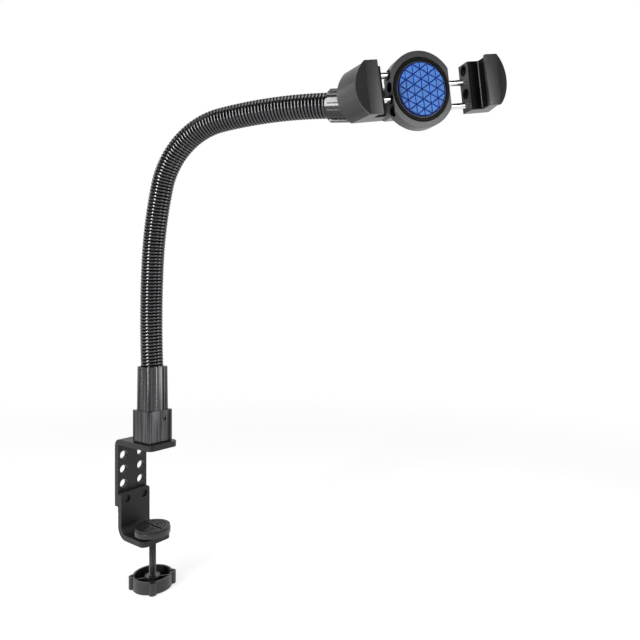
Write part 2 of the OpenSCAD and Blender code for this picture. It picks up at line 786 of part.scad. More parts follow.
module lip(side) {
    color(satin) at_jaw(side) difference() {
        translate([0, 0, wall_face]) linear_extrude(lip_t) jaw_outline(ledge - lip_hook, lip_proud);
        translate([arc_u, -span / 2, wall_face + lip_t]) rotate([0, crease_slope, 0]) cube(span);
    }
}

module rods(side) {
    color(chrome) at_jaw(side) for (i = right_rows)
        translate([-rod_len, i * rod_pitch, rod_n]) along_rods()
            cylinder(h = rod_len + rod_seat - 0.3, r = rod_r);
}

module left_jaw() jaw(-1);
module left_liner() liner(-1);
module left_lip() lip(-1);
module left_rods() rods(-1);
module right_jaw() jaw(1);
module right_liner() liner(1);
module right_lip() lip(1);
module right_rods() rods(1);

module clamp_screw() {
    foot = knob_base + knob_floor;
    shoulder = foot_base - seat_gap;
    color(steel) {
        translate([0, 0, foot]) cylinder(h = shoulder - foot, r = screw_r);
        translate([0, 0, shoulder - eps]) cylinder(h = clip_base + clip_t - shoulder, r = journal_r);
    }
}

module knob_outline(grow) {
    circle(knob_disc_r + grow);
    for (a = [0, 90, 180, 270]) rotate(a) translate([knob_r - knob_lobe_r, 0]) circle(knob_lobe_r + grow);
}

module knob() {
    color(black) rotate([0, 0, knob_turn]) difference() {
        union() {
            difference() {
                translate([0, 0, knob_base]) linear_extrude(knob_h) knob_outline(0);
                translate([0, 0, knob_base + knob_floor]) linear_extrude(knob_h) knob_outline(-knob_wall);
            }
            translate([0, 0, knob_base + eps]) cylinder(h = knob_h - 1.5, r = hub_r);
            for (a = [0, 90, 180, 270]) rotate(a)
                translate([hub_r - 1, -0.6, knob_base + eps]) cube([knob_r - hub_r - 1, 1.2, knob_h - 3]);
        }
        translate([0, 0, knob_base + knob_floor]) cylinder(h = knob_h, r = insert_r);
    }
}

module knob_insert() {
    color(chrome) difference() {
        translate([0, 0, knob_base + knob_floor]) cylinder(h = knob_h - knob_floor - 1.5, r = insert_r - press_gap);
        translate([0, 0, knob_base + knob_floor - cut]) cylinder(h = knob_h, r = screw_r + press_gap);
    }
}

module foot_cup() {
    color(black) translate([0, 0, foot_base]) difference() {
        cylinder(h = foot_cup_h, r = foot_d / 2);
        translate([0, 0, -cut]) cylinder(h = foot_cup_h, r = journal_r + run_play);
        translate([0, 0, cup_floor]) cylinder(h = foot_cup_h, r = clip_r + seat_gap);
    }
}

// Ring on the end of the screw that keeps the cup from lifting off
module foot_clip() {
    color(chrome) translate([0, 0, clip_base]) difference() {
        cylinder(h = clip_t, r = clip_r);
        translate([0, 0, -cut]) cylinder(h = clip_t + 2 * cut, r = journal_r + press_gap);
    }
}

// Rubber face with a raised rim, ring grooves in two half moons and one straight slot between them
module foot_pad() {
    color(black) translate([0, 0, foot_base + foot_cup_h]) difference() {
        cylinder(h = foot_pad_t, r = foot_d / 2 - 0.5);
        for (r = [4.5, 7.5, 10.5]) translate([0, 0, foot_pad_t - 0.7]) difference() {
            cylinder(h = cut, r = r + 0.7);
            translate([0, 0, -cut]) cylinder(h = 3 * cut, r = r - 0.7);
            translate([-foot_d, -2.4, -cut]) cube([2 * foot_d, 4.8, 3 * cut]);
        }
        translate([-foot_ring_r + 1, -1, foot_pad_t - 1]) cube([2 * foot_ring_r - 2, 2, cut + 1]);
    }
}

upper_bracket();
lower_bracket();
thread_bush();
socket();
socket_gasket();
socket_bolts();
set_screw();
post_sleeve();
neck_ferrule();
gooseneck();
neck_head();
ball_seat();
lock_nut();
ball_stud();
stud_nut();
mounting_block();
block_screws();
back_shell();
shell_screws();
front_shell();
rod_bushes();
pad_bezel();
grip_pad();
left_jaw();
left_liner();
left_lip();
left_rods();
right_jaw();
right_liner();
right_lip();
right_rods();
clamp_screw();
knob();
knob_insert();
foot_cup();
foot_pad();
foot_clip();
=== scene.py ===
"""Looks of a clamp-on phone holder: finishes, hose, thread, grip pad and softened edges."""
import json
import logging
import math
from collections.abc import Callable, Iterator
from contextlib import contextmanager
from dataclasses import dataclass, field
from enum import Enum

import bpy
from mathutils import Matrix, Vector


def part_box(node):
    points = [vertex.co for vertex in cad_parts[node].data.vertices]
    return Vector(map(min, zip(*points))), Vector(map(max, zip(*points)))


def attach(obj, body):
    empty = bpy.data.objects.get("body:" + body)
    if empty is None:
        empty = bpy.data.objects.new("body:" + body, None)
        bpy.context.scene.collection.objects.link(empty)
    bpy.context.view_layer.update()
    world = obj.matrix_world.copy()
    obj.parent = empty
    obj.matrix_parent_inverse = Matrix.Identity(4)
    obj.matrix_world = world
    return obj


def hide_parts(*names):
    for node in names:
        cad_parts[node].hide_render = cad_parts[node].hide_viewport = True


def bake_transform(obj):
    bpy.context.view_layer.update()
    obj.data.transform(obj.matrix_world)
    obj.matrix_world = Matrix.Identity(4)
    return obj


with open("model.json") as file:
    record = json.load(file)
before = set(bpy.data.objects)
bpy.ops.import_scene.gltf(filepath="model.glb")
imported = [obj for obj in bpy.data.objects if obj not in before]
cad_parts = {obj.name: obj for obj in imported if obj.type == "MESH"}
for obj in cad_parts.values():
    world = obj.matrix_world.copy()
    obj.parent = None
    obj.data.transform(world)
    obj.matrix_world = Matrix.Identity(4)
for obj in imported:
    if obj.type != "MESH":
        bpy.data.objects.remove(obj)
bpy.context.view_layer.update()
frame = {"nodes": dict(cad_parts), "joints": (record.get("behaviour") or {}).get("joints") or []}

LOG = logging.getLogger("phone_holder")
Triple = tuple[float, float, float]

MM = 0.001
NODE_WELD = 2e-6  # metres between points of a frame's node that are joined
WOUND_WELD = 1e-6  # metres between points of a wound mesh that are joined
ON_AXIS = 1e-7  # metres that a point may lie behind the axis and still count as on it
FLAT_ANGLE = 0.6  # degrees between faces that are dissolved into one
SMOOTH_ANGLE = 40.0  # degrees between faces that are shaded as one surface

TONE_DETAIL = 3.0  # finer layers in the noise of the slow change of tone
GRAIN_DETAIL = 6.0  # finer layers in the noise of the grain
TONE_SPAN = (0.35, 0.65)  # noise values between which the colour changes
LEAST_ROUGHNESS = 0.02
BUMP_SHARE = 0.3  # height of the grain over its size

FACE_REACH = 41.2  # millimetres from the ball's centre to the pad's middle, out of the face
FACE_DROP = 2.2  # millimetres from the ball's centre to the pad's middle, down the face


class Body(str, Enum):
    """The bodies of the frame that the built pieces ride on."""

    CLAMP = "clamp"
    FOOT = "foot"
    SCREW = "screw"
    POST = "post"
    NECK = "neck"
    HEAD = "head"
    NUT = "nut"
    HOLDER = "holder"
    LEFT_ARM = "left_arm"
    RIGHT_ARM = "right_arm"


class Slot(str, Enum):
    """The record's material slots."""

    PLATE = "black_plate"
    ALLOY = "black_alloy"
    HOSE = "black_hose"
    SCREW = "black_screw"
    STEEL = "bright_steel"
    CHROME = "chrome_rod"
    JOINT = "joint_plastic"
    SHELL = "shell_plastic"
    KNOB = "knob_plastic"
    WHITE = "white_plastic"
    RUBBER = "black_rubber"
    BLUE = "blue_rubber"


class Side(str, Enum):
    """The two arms, as they are named in the frame."""

    LEFT = "left"
    RIGHT = "right"


@dataclass(frozen=True)
class Rounding:
    """How edges are rounded: width in millimetres, faces across it, and an edge's least angle in degrees."""

    width: float
    segments: int = 2
    angle: float = 32.0


def joint(name: str) -> dict:
    """Finds a joint of the frame.

    Args:
        name: the joint's name in the record.

    Returns:
        The joint's row.
    """
    return next(j for j in frame["joints"] if j["name"] == name)


def wake(piece: bpy.types.Object) -> None:
    """Makes one object the only selected and the active one.

    Args:
        piece: the object.
    """
    if bpy.context.object and bpy.context.object.mode != "OBJECT":
        bpy.ops.object.mode_set(mode="OBJECT")
    bpy.ops.object.select_all(action="DESELECT")
    bpy.context.view_layer.objects.active = piece
    piece.select_set(True)


@contextmanager
def editing(piece: bpy.types.Object) -> Iterator[bpy.types.Mesh]:
    """Opens one object in edit mode with everything deselected.

    Args:
        piece: the mesh object to edit.

    Returns:
        The object's mesh, while the block runs.
    """
    wake(piece)
    bpy.ops.object.mode_set(mode="EDIT")
    bpy.ops.mesh.select_all(action="DESELECT")
    yield piece.data
    bpy.ops.object.mode_set(mode="OBJECT")


def newest(name: str) -> bpy.types.Object:
    """Names the object that an operator has just added.

    Args:
        name: its name and its mesh's.

    Returns:
        The object.
    """
    piece = bpy.context.object
    piece.name = name
    piece.data.name = name
    return piece


def settle(piece: bpy.types.Object, place: Matrix | None = None) -> None:
    """Moves an object and then puts its place into its mesh.

    Args:
        piece: the object.
        place: where it goes, in the frame's metres, or None to keep where it stands.
    """
    if place is not None:
        piece.matrix_world = place @ piece.matrix_world
    wake(piece)
    bpy.ops.object.transform_apply(location=True, rotation=True, scale=True)


def apply_modifier(piece: bpy.types.Object, kind: str, **settings: object) -> None:
    """Adds a modifier with its settings and applies it.

    Args:
        piece: the object that is modified.
        kind: the modifier's type.
        settings: the modifier's own values.
    """
    modifier = piece.modifiers.new(kind.lower(), kind)
    for key, value in settings.items():
        setattr(modifier, key, value)
    wake(piece)
    bpy.ops.object.modifier_apply(modifier=modifier.name)


def smooth(piece: bpy.types.Object, angle: float = SMOOTH_ANGLE) -> None:
    """Shades a piece smooth, apart from edges sharper than an angle in degrees."""
    wake(piece)
    bpy.ops.object.shade_smooth_by_angle(angle=math.radians(angle))


def soften(piece: bpy.types.Object, edge: Rounding) -> None:
    """Rounds every sharp edge of a piece and keeps its flats flat.

    Args:
        piece: the object.
        edge: how its edges are rounded.
    """
    apply_modifier(
        piece, "BEVEL", width=edge.width * MM, segments=edge.segments, limit_method="ANGLE",
        angle_limit=math.radians(edge.angle), harden_normals=False, use_clamp_overlap=True,
    )
    smooth(piece)
    apply_modifier(piece, "WEIGHTED_NORMAL", keep_sharp=True)


def cut_away(piece: bpy.types.Object, gone: Callable[[Vector], bool]) -> None:
    """Deletes some vertices of a mesh.

    Args:
        piece: the mesh object.
        gone: says of a vertex's place whether it goes.
    """
    with editing(piece) as mesh:
        bpy.ops.object.mode_set(mode="OBJECT")
        for vertex in mesh.vertices:
            vertex.select = gone(vertex.co)
        bpy.ops.object.mode_set(mode="EDIT")
        bpy.ops.mesh.delete(type="VERT")


def wind(section: bpy.types.Object, pitch: float, turns: int, faces: int) -> None:
    """Winds an open section round and up the Z axis and closes its two ends.

    Args:
        section: the section, standing beside the axis.
        pitch: the rise of one turn in millimetres.
        turns: how many turns there are.
        faces: how many faces one turn has.
    """
    apply_modifier(
        section, "SCREW", axis="Z", angle=math.tau, screw_offset=pitch * MM, iterations=turns,
        steps=faces, render_steps=faces, use_merge_vertices=True, merge_threshold=WOUND_WELD,
        use_smooth_shade=True,
    )
    close_ends(section)


def close_ends(piece: bpy.types.Object) -> None:
    """Fills the two open ends of a mesh wound up Z, one at a time, and turns its faces outwards.

    Args:
        piece: the wound mesh's object.
    """
    middle = sum(v.co.z for v in piece.data.vertices) / len(piece.data.vertices)
    with editing(piece):
        bpy.ops.mesh.select_all(action="SELECT")
        bpy.ops.mesh.remove_doubles(threshold=WOUND_WELD)
    for low in (True, False):
        with editing(piece) as mesh:
            bpy.ops.mesh.select_non_manifold(extend=False)
            bpy.ops.object.mode_set(mode="OBJECT")
            for vertex in mesh.vertices:
                vertex.select = vertex.select and (vertex.co.z < middle) == low
            for edge in mesh.edges:
                edge.select = all(mesh.vertices[i].select for i in edge.vertices)
            bpy.ops.object.mode_set(mode="EDIT")
            bpy.ops.mesh.edge_face_add()
    with editing(piece):
        bpy.ops.mesh.select_all(action="SELECT")
        bpy.ops.mesh.normals_make_consistent(inside=False)


def add_node(
    tree: bpy.types.NodeTree, kind: str, values: dict[str | int, object] | None = None, **settings: object
) -> bpy.types.Node:
    """Adds a shader node.

    Args:
        tree: the tree it goes in.
        kind: its type, without the ShaderNode in front.
        values: the values of its inputs.
        settings: its own settings, such as its operation.

    Returns:
        The node.
    """
    node = tree.nodes.new(f"ShaderNode{kind}")
    for key, value in settings.items():
        setattr(node, key, value)
    for key, value in (values or {}).items():
        node.inputs[key].default_value = value
    return node


def mapped(
    tree: bpy.types.NodeTree, value: bpy.types.NodeSocket, before: tuple[float, float],
    after: tuple[float, float], blending: str = "LINEAR",
) -> bpy.types.NodeSocket:
    """Maps a value from one range to another.

    Args:
        tree: the tree it is in.
        value: the value.
        before: the range it has.
        after: the range it gets.
        blending: how it runs between the two ends.

    Returns:
        The mapped value.
    """
    limits = dict(zip(("From Min", "From Max", "To Min", "To Max"), (*before, *after)))
    node = add_node(tree, "MapRange", limits, interpolation_type=blending)
    tree.links.new(value, node.inputs["Value"])
    return node.outputs["Result"]


@dataclass(frozen=True)
class Finish:
    """A surface: colour, gloss, a slow change of tone and a fine grain. Sizes are in millimetres."""

    name: str
    colour: Triple
    roughness: float
    metallic: float = 0.0
    specular: float = 0.5
    tone: float = 0.2
    tone_size: float = 18.0
    grain: float = 0.15
    grain_size: float = 0.5
    gloss_change: float = 0.06
    stretch: Triple = (1.0, 1.0, 1.0)

    def material(self) -> bpy.types.Material:
        """Builds the material the first time it is asked for.

        Returns:
            The material.
        """
        found = bpy.data.materials.get(self.name)
        if found:
            return found
        material = bpy.data.materials.new(self.name)
        material.use_nodes = True
        material.diffuse_color = (*self.colour, 1.0)
        self.lay_nodes(material.node_tree)
        return material

    def lay_nodes(self, tree: bpy.types.NodeTree) -> None:
        """Lays the shader's nodes.

        Args:
            tree: the material's node tree.
        """
        shader = tree.nodes["Principled BSDF"]
        shader.inputs["Metallic"].default_value = self.metallic
        shader.inputs["Specular IOR Level"].default_value = self.specular
        where = self.coordinates(tree)
        slow = self.noise(tree, where, self.tone_size, TONE_DETAIL)
        tree.links.new(self.tinted(tree, slow), shader.inputs["Base Color"])
        low = max(LEAST_ROUGHNESS, self.roughness - self.gloss_change)
        high = min(1.0, self.roughness + self.gloss_change)
        tree.links.new(mapped(tree, slow, (0.0, 1.0), (low, high)), shader.inputs["Roughness"])
        height = self.grain_size * MM * BUMP_SHARE
        bump = add_node(tree, "Bump", {"Strength": self.grain, "Distance": height})
        fine = self.noise(tree, where, self.grain_size, GRAIN_DETAIL)
        tree.links.new(fine, bump.inputs["Height"])
        tree.links.new(bump.outputs["Normal"], shader.inputs["Normal"])

    def coordinates(self, tree: bpy.types.NodeTree) -> bpy.types.NodeSocket:
        """Gives the object's own coordinates, stretched along the finish's direction.

        Args:
            tree: the material's node tree.

        Returns:
            The coordinates.
        """
        source = add_node(tree, "TexCoord")
        mapping = add_node(tree, "Mapping", {"Scale": self.stretch})
        tree.links.new(source.outputs["Object"], mapping.inputs["Vector"])
        return mapping.outputs["Vector"]

    def noise(
        self, tree: bpy.types.NodeTree, where: bpy.types.NodeSocket, size: float, detail: float
    ) -> bpy.types.NodeSocket:
        """Adds a noise of a given size.

        Args:
            tree: the material's node tree.
            where: the coordinates it reads.
            size: the size of its patches in millimetres.
            detail: how many finer layers it has.

        Returns:
            The noise's factor.
        """
        noise = add_node(tree, "TexNoise", {"Scale": 1.0 / (size * MM), "Detail": detail})
        tree.links.new(where, noise.inputs["Vector"])
        return noise.outputs["Fac"]

    def tinted(self, tree: bpy.types.NodeTree, factor: bpy.types.NodeSocket) -> bpy.types.NodeSocket:
        """Runs the colour between a darker and a lighter tone of itself.

        Args:
            tree: the material's node tree.
            factor: the noise that it follows.

        Returns:
            The colour.
        """
        ramp = add_node(tree, "ValToRGB")
        for stop, spot, share in zip(ramp.color_ramp.elements, TONE_SPAN, (1 - self.tone, 1 + self.tone)):
            stop.position = spot
            stop.color = (*(c * share for c in self.colour), 1.0)
        tree.links.new(factor, ramp.inputs["Fac"])
        return ramp.outputs["Color"]


PLATE = Finish(
    "powder_coated_plate", (0.012, 0.012, 0.0125), 0.38, specular=0.3, grain=0.7, grain_size=1.2,
)
ALLOY = Finish(
    "satin_black_alloy", (0.062, 0.062, 0.065), 0.2, metallic=0.85, specular=0.6, tone=0.75,
    tone_size=2.2, grain=0.01, grain_size=0.6, gloss_change=0.05, stretch=(1.0, 1.0, 0.03),
)
HOSE = Finish(
    "gloss_black_hose", (0.085, 0.085, 0.09), 0.15, metallic=0.85, specular=0.6, tone=0.08,
    grain=0.02, grain_size=0.8,
)
# Painted shade: near-black on the faces deep in the hose's grooves, standing in for the shade that falls
# there.
HOSE_GROOVE_SHADE = Finish(
    "hose_groove_painted_shade", (0.001, 0.001, 0.001), 0.6, specular=0.05, grain=0.03, grain_size=0.8,
)
BLACK_SCREW = Finish(
    "black_oxide", (0.09, 0.09, 0.095), 0.25, metallic=0.8, grain=0.05, grain_size=0.3,
)
STEEL = Finish(
    "turned_steel", (0.6, 0.6, 0.62), 0.24, metallic=1.0, tone=0.08, grain=0.1, grain_size=0.2,
)
CHROME = Finish(
    "polished_rod", (0.72, 0.73, 0.75), 0.1, metallic=1.0, tone=0.05, grain=0.03, grain_size=0.3,
    gloss_change=0.03,
)
ZINC = Finish(
    "dull_zinc", (0.16, 0.16, 0.17), 0.35, metallic=0.9, tone=0.1, grain=0.1, grain_size=0.2,
)
JOINT = Finish(
    "joint_moulding", (0.006, 0.006, 0.0065), 0.18, specular=0.6, grain=0.05, grain_size=0.6,
)
SHELL = Finish(
    "shell_moulding", (0.022, 0.022, 0.023), 0.28, specular=0.55, tone=0.1, grain=0.08,
    grain_size=0.5, gloss_change=0.015,
)
KNOB = Finish(
    "knob_moulding", (0.014, 0.014, 0.0145), 0.26, specular=0.55, grain=0.12, grain_size=0.5,
)
WHITE = Finish("seat_moulding", (0.72, 0.72, 0.7), 0.4, tone=0.04, grain=0.1, grain_size=0.4)
BEZEL = Finish(
    "ring_moulding", (0.003, 0.003, 0.003), 0.4, specular=0.1, grain=0.1, grain_size=0.3,
)
RUBBER = Finish(
    "matt_black_rubber", (0.003, 0.003, 0.003), 0.45, specular=0.12, grain=0.4, grain_size=0.4,
)
FOOT_RUBBER = Finish(
    "foot_rubber", (0.014, 0.014, 0.015), 0.4, specular=0.35, grain=0.5, grain_size=0.8,
)
# Painted highlight: the ridge is real, but its grey is far lighter than the black rubber it belongs to, and
# stands in for the highlight along the rubber's fold.
RIDGE_HIGHLIGHT_RUBBER = Finish(
    "rubber_ridge_painted_highlight", (0.08, 0.08, 0.082), 0.3, specular=0.6, grain=0.1, grain_size=0.3,
)
# Painted shade: the disc under the triangles is a darker blue than the triangles, for the shade in the
# grooves between them.
GROOVE_SHADE_BLUE = Finish(
    "blue_rubber_painted_groove_shade", (0.005, 0.025, 0.22), 0.45, specular=0.1, tone=0.1, grain=0.2, grain_size=0.3,
)
LIGHT_BLUE = Finish(
    "light_blue_rubber", (0.08, 0.245, 0.72), 0.36, specular=0.25, tone=0.1, tone_size=6.0,
    grain=0.15, grain_size=0.3,
)

SLOT_FINISH: dict[Slot, Finish] = {
    Slot.PLATE: PLATE, Slot.ALLOY: ALLOY, Slot.HOSE: HOSE, Slot.SCREW: BLACK_SCREW, Slot.STEEL: STEEL,
    Slot.CHROME: CHROME, Slot.JOINT: JOINT, Slot.SHELL: SHELL, Slot.KNOB: KNOB, Slot.WHITE: WHITE,
    Slot.RUBBER: RUBBER, Slot.BLUE: GROOVE_SHADE_BLUE,
}


def coat(piece: bpy.types.Object, *finishes: Finish) -> None:
    """Gives a piece its materials.

    Args:
        piece: the piece.
        finishes: its finishes, in the order of its material numbers.
    """
    piece.data.materials.clear()
    for finish in finishes:
        piece.data.materials.append(finish.material())


@dataclass
class SubAssembly:
    """A group of pieces that is built together."""

    pieces: list[bpy.types.Object] = field(default_factory=list)

    def hand_over(
        self, piece: bpy.types.Object, body: Body, slot: Slot, replaced: tuple[str, ...] = (),
        finish: Finish | None = None,
    ) -> None:
        """Gives a finished piece its material, from its slot unless a finish is given, puts it on its body
        and hides the nodes it replaces.

        Args:
            piece: the piece, in place.
            body: the body it rides on.
            slot: its slot in the record.
            replaced: the frame's nodes that it stands for.
            finish: its finish, where it isn't the slot's usual one.
        """
        coat(piece, finish or SLOT_FINISH[slot])
        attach(piece, body.value)
        if replaced:
            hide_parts(*replaced)
        self.pieces.append(piece)

    def dress(
        self, node: str, body: Body, slot: Slot, edge: Rounding, finish: Finish | None = None
    ) -> None:
        """Copies a node of the frame, joins its loose faces and rounds its edges.

        Args:
            node: the node's name.
            body: the body it rides on.
            slot: its slot in the record.
            edge: how its edges are rounded.
            finish: its finish, where it isn't the slot's usual one.
        """
        piece = bpy.data.objects.new(f"{node}_dressed", frame["nodes"][node].data.copy())
        bpy.context.scene.collection.objects.link(piece)
        wake(piece)
        bpy.ops.mesh.customdata_custom_splitnormals_clear()
        with editing(piece):
            bpy.ops.mesh.select_all(action="SELECT")
            bpy.ops.mesh.remove_doubles(threshold=NODE_WELD)
            bpy.ops.mesh.dissolve_limited(angle_limit=math.radians(FLAT_ANGLE))
        soften(piece, edge)
        self.hand_over(piece, body, slot, (node,), finish)

    def keep(self, nodes: tuple[str, ...], slot: Slot, finish: Finish | None = None) -> None:
        """Keeps nodes of the frame as they are and gives them their finish.

        Args:
            nodes: the nodes' names.
            slot: their slot in the record.
            finish: their finish, where it isn't the slot's usual one.
        """
        for node in nodes:
            piece = frame["nodes"][node]
            coat(piece, finish or SLOT_FINISH[slot])
            self.pieces.append(piece)

    def report(self) -> None:
        """Logs each piece of this group."""
        for piece in self.pieces:
            LOG.info("%s: %s has %d faces", type(self).__name__, piece.name, len(piece.data.polygons))


@dataclass
class TableClamp(SubAssembly):
    """The two bent plates and the socket bolted on the upper one."""

    plate_edge: Rounding = Rounding(0.55, 3)
    socket_edge: Rounding = Rounding(0.3)
    gasket_edge: Rounding = Rounding(0.2)
    set_screw_edge: Rounding = Rounding(0.1)
    bolt_edge: Rounding = Rounding(0.12)

    def build(self) -> None:
        """Builds the plates, the socket and its small parts."""
        self.dress("upper_bracket", Body.CLAMP, Slot.PLATE, self.plate_edge)
        self.dress("lower_bracket", Body.CLAMP, Slot.PLATE, self.plate_edge)
        self.keep(("thread_bush",), Slot.STEEL)
        self.dress("socket", Body.CLAMP, Slot.ALLOY, self.socket_edge)
        self.dress("socket_gasket", Body.CLAMP, Slot.RUBBER, self.gasket_edge)
        self.dress("set_screw", Body.CLAMP, Slot.SCREW, self.set_screw_edge)
        self.dress("socket_bolts", Body.CLAMP, Slot.SCREW, self.bolt_edge)


@dataclass
class ClampScrew(SubAssembly):
    """The threaded screw, its knob and the foot.

    The thread's profile is given as radii in millimetres, each with its height over the pitch.
    """

    profile: tuple[tuple[float, float], ...] = ((2.5, 0.0), (2.5, 0.12), (3.0, 0.5), (2.5, 0.88), (2.5, 1.0))
    pitch: float = 1.0
    turn_faces: int = 20
    knob_edge: Rounding = Rounding(0.45, 3)
    cup_edge: Rounding = Rounding(0.5, 3)
    pad_edge: Rounding = Rounding(0.25)

    def build(self) -> None:
        """Builds the screw with a true thread, the knob and the foot."""
        self.thread()
        self.dress("knob", Body.SCREW, Slot.KNOB, self.knob_edge)
        self.dress("foot_cup", Body.FOOT, Slot.KNOB, self.cup_edge)
        self.dress("foot_pad", Body.FOOT, Slot.RUBBER, self.pad_edge, FOOT_RUBBER)
        self.keep(("foot_clip",), Slot.STEEL)
        self.keep(("knob_insert",), Slot.STEEL, ZINC)

    def thread(self) -> None:
        """Winds the thread's V-shaped section up the screw's axis, from the knob to under the foot."""
        low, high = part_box("clamp_screw")
        steps = len(self.profile) - 1
        bpy.ops.mesh.primitive_grid_add(x_subdivisions=1, y_subdivisions=steps, size=1.0)
        screw = newest("screw_thread")
        cut_away(screw, lambda spot: spot.x > 0)
        for vertex in screw.data.vertices:
            radius, height = self.profile[round((vertex.co.y + 0.5) * steps)]
            vertex.co = (radius * MM, 0.0, height * self.pitch * MM)
        wind(screw, self.pitch, int((high.z - low.z) / (self.pitch * MM)), self.turn_faces)
        settle(screw, Matrix.Translation((0, 0, low.z)))
        smooth(screw)
        self.hand_over(screw, Body.SCREW, Slot.SCREW, ("clamp_screw",))


@dataclass
class Post(SubAssembly):
    """The fluted sleeve that carries the gooseneck."""

    sleeve_edge: Rounding = Rounding(0.3, angle=25.0)

    def build(self) -> None:
        """Builds the sleeve and keeps the hidden ferrule."""
        self.dress("post_sleeve", Body.POST, Slot.ALLOY, self.sleeve_edge)
        self.keep(("neck_ferrule",), Slot.STEEL)


@dataclass(frozen=True)
class HoseHalf:
    """One half of the hose: its name, the bodies at its two ends and the bend joint that it crosses.

    The reach is a length to each side of that joint, in millimetres.
    """

    name: str
    lower: Body
    upper: Body
    bend: str
    reach: float


@dataclass
class Gooseneck(SubAssembly):
    """The wound hose: a rounded ridge wound round a centre line of four arcs.

    Each arc is a length in millimetres and a turn in degrees.
    """

    lean: float = -3.0
    arcs: tuple[tuple[float, float], ...] = ((97.0, 6.3), (65.0, 10.5), (81.0, 70.5), (93.0, 12.2))
    yaw: float = 16.0
    outer_r: float = 9.4
    groove: float = 1.1
    groove_share: float = 0.2  # how far down the groove its painted shade begins, over its depth
    root_depth: float = 8.0  # how deep the hose stands in the sleeve
    ridges: int = 120
    ridge_faces: int = 10
    turn_faces: int = 28
    shade_angle: float = 60.0
    line_step: float = 1.4
    heading_step: float = 1.0
    tip_gap: float = 0.3  # how much the wound hose stops short of the line's end
    root: Vector = field(default_factory=Vector)
    halves: tuple[HoseHalf, ...] = (
        HoseHalf("hose_lower", Body.POST, Body.NECK, "lower_bend", 40.0),
        HoseHalf("hose_upper", Body.NECK, Body.HEAD, "upper_bend", 42.0),
    )

    def build(self) -> None:
        """Winds the two halves, each along its own part of the centre line."""
        _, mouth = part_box("post_sleeve")
        self.root = Vector((*joint("post_turn")["pos_m"][:2], mouth.z - self.root_depth * MM))
        count = self.ridges // len(self.halves)
        for index, half in enumerate(self.halves):
            self.wind_half(half, index * count, count)

    @property
    def length(self) -> float:
        """Length of the centre line in millimetres."""
        return sum(run for run, _ in self.arcs)

    def point(self, run: float) -> Vector:
        """Gives the centre line's point at a length from the root.

        Args:
            run: length along the line in millimetres. Past the last arc, that arc goes on.

        Returns:
            The point in metres.
        """
        heading = math.radians(self.lean)
        left = run
        across, up = 0.0, 0.0
        for stretch, turn in self.arcs:
            radius = stretch / math.radians(turn)
            part = min(left, stretch) / radius
            if left > stretch and (stretch, turn) == self.arcs[-1]:
                part = left / radius
            across += radius * (math.cos(heading) - math.cos(heading + part))
            up += radius * (math.sin(heading + part) - math.sin(heading))
            heading += part
            left -= stretch
            if left <= 0:
                break
        yaw = math.radians(self.yaw)
        return self.root + Vector((across * math.cos(yaw), across * math.sin(yaw), up)) * MM

    def line(self, run: float) -> bpy.types.Object:
        """Draws the centre line as a helper curve.

        Args:
            run: its length from the root, in millimetres.

        Returns:
            The curve.
        """
        curve = bpy.data.curves.new("hose_line", "CURVE")
        curve.dimensions = "3D"
        curve.twist_mode = "MINIMUM"
        count = int(run / self.line_step) + 1
        spline = curve.splines.new("POLY")
        spline.points.add(count)
        for i in range(count + 1):
            spline.points[i].co = (*self.point(run * i / count), 1.0)
        line = bpy.data.objects.new("hose_line", curve)
        bpy.context.scene.collection.objects.link(line)
        return line

    def wind_half(self, half: HoseHalf, first: int, count: int) -> None:
        """Winds one half of the hose and bends it along its line.

        Args:
            half: which half.
            first: its first ridge.
            count: how many ridges it has.
        """
        run = self.length - self.tip_gap
        pitch = run / self.ridges
        hose = self.ridge(half.name, pitch)
        wind(hose, pitch, count, self.turn_faces)
        # The faces deep in each groove take the painted shade; the rest take the hose's glossy black.
        coat(hose, SLOT_FINISH[Slot.HOSE], HOSE_GROOVE_SHADE)
        deep = (self.outer_r - self.groove * self.groove_share) * MM
        for face in hose.data.polygons:
            face.material_index = int(math.hypot(face.center.x, face.center.y) < deep)
        settle(hose, Matrix.Translation((0, 0, first * pitch * MM)))
        line = self.line(run + pitch)
        apply_modifier(hose, "CURVE", object=line, deform_axis="POS_Z")
        bpy.data.objects.remove(line)
        smooth(hose, self.shade_angle)
        pivot = Vector(joint(half.bend)["pos_m"])
        spread = self.heading_near(pivot) * half.reach * MM
        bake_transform(hose)
        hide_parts("gooseneck")
        self.pieces.append(hose)

    def heading_near(self, spot: Vector) -> Vector:
        """Finds the direction of the centre line where it passes nearest to a point.

        Args:
            spot: the point, in metres.

        Returns:
            The direction, of length 1.
        """
        runs = [i * self.line_step for i in range(int(self.length / self.line_step))]
        near = min(runs, key=lambda run: (self.point(run) - spot).length)
        behind = max(near - self.heading_step, 0.0)
        return (self.point(near + self.heading_step) - self.point(behind)).normalized()

    def ridge(self, name: str, pitch: float) -> bpy.types.Object:
        """Makes the section of one ridge: half of a flattened circle beside the axis.

        Args:
            name: the piece's name.
            pitch: the ridge's height in millimetres.

        Returns:
            The open section, standing at the hose's radius.
        """
        bpy.ops.mesh.primitive_circle_add(
            vertices=2 * self.ridge_faces, radius=pitch * MM / 2, rotation=(math.pi / 2, 0, 0),
        )
        section = newest(name)
        settle(section)
        cut_away(section, lambda spot: spot.x < -ON_AXIS)
        valley = self.outer_r - self.groove
        flat = self.groove / (pitch / 2)
        for vertex in section.data.vertices:
            vertex.co.x = vertex.co.x * flat + valley * MM
            vertex.co.z += pitch * MM / 2
        return section


@dataclass
class BallJoint(SubAssembly):
    """The neck's head, its lock nut and the ball on its stem."""

    head_edge: Rounding = Rounding(0.3)
    nut_edge: Rounding = Rounding(0.45, 3)

    def build(self) -> None:
        """Builds the joint's pieces."""
        self.dress("neck_head", Body.HEAD, Slot.JOINT, self.head_edge)
        self.dress("lock_nut", Body.NUT, Slot.JOINT, self.nut_edge)
        self.keep(("ball_seat",), Slot.WHITE)
        self.keep(("ball_stud", "stud_nut"), Slot.STEEL)


